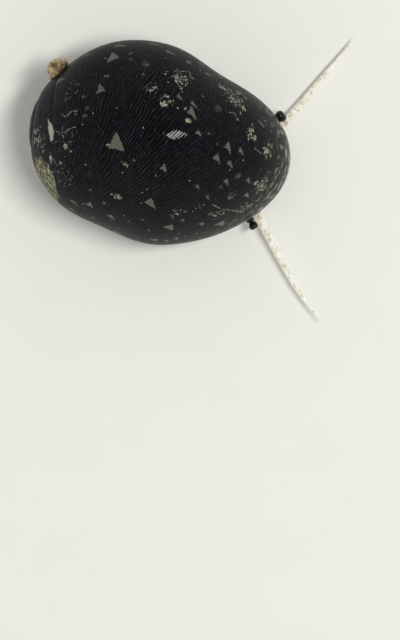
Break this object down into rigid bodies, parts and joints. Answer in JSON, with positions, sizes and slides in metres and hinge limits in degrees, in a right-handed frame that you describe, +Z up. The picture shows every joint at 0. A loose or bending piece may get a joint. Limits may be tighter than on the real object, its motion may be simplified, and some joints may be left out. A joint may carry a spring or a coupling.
{
  "type": "nerite snail",
  "caption": "Crawling nerite snail with an egg-shaped black shell sprinkled with pale triangles, its feelers spread, on a flat foot.",
  "frame": {"origin": "on the floor, under the sole, below the middle of the shell as seen from above", "axes": "+Z up, -Y the way the snail crawls, +X its left side"},
  "size_m": [0.0221, 0.0256, 0.015],
  "materials": {
    "shell": "black glossy shell with fine wavy ridges and pale grey triangles, worn chalky round the apex",
    "tuft": "brown and yellow fuzz of weed",
    "mantle": "wet black skin",
    "flesh_dark": "wet dark brown skin mottled with gold, paler under the sole",
    "flesh_cream": "translucent cream skin with dark specks along the middle",
    "eye": "glossy black",
    "operculum": "smooth greyish horn"
  },
  "bodies": {
    "root": {"shell": "shell", "shell_tuft": "tuft", "mantle": "mantle", "foot": "flesh_dark", "propodium": "flesh_dark", "head": "flesh_dark", "snout": "flesh_dark", "tentacle_left_base": "flesh_cream", "tentacle_left_middle": "flesh_cream", "tentacle_left_tip": "flesh_cream", "tentacle_right_base": "flesh_cream", "tentacle_right_middle": "flesh_cream", "tentacle_right_tip": "flesh_cream", "eye_stalk_left": "mantle", "eye_stalk_right": "mantle", "eye_left": "eye", "eye_right": "eye", "operculum": "operculum"}
  },
  "joints": []
}
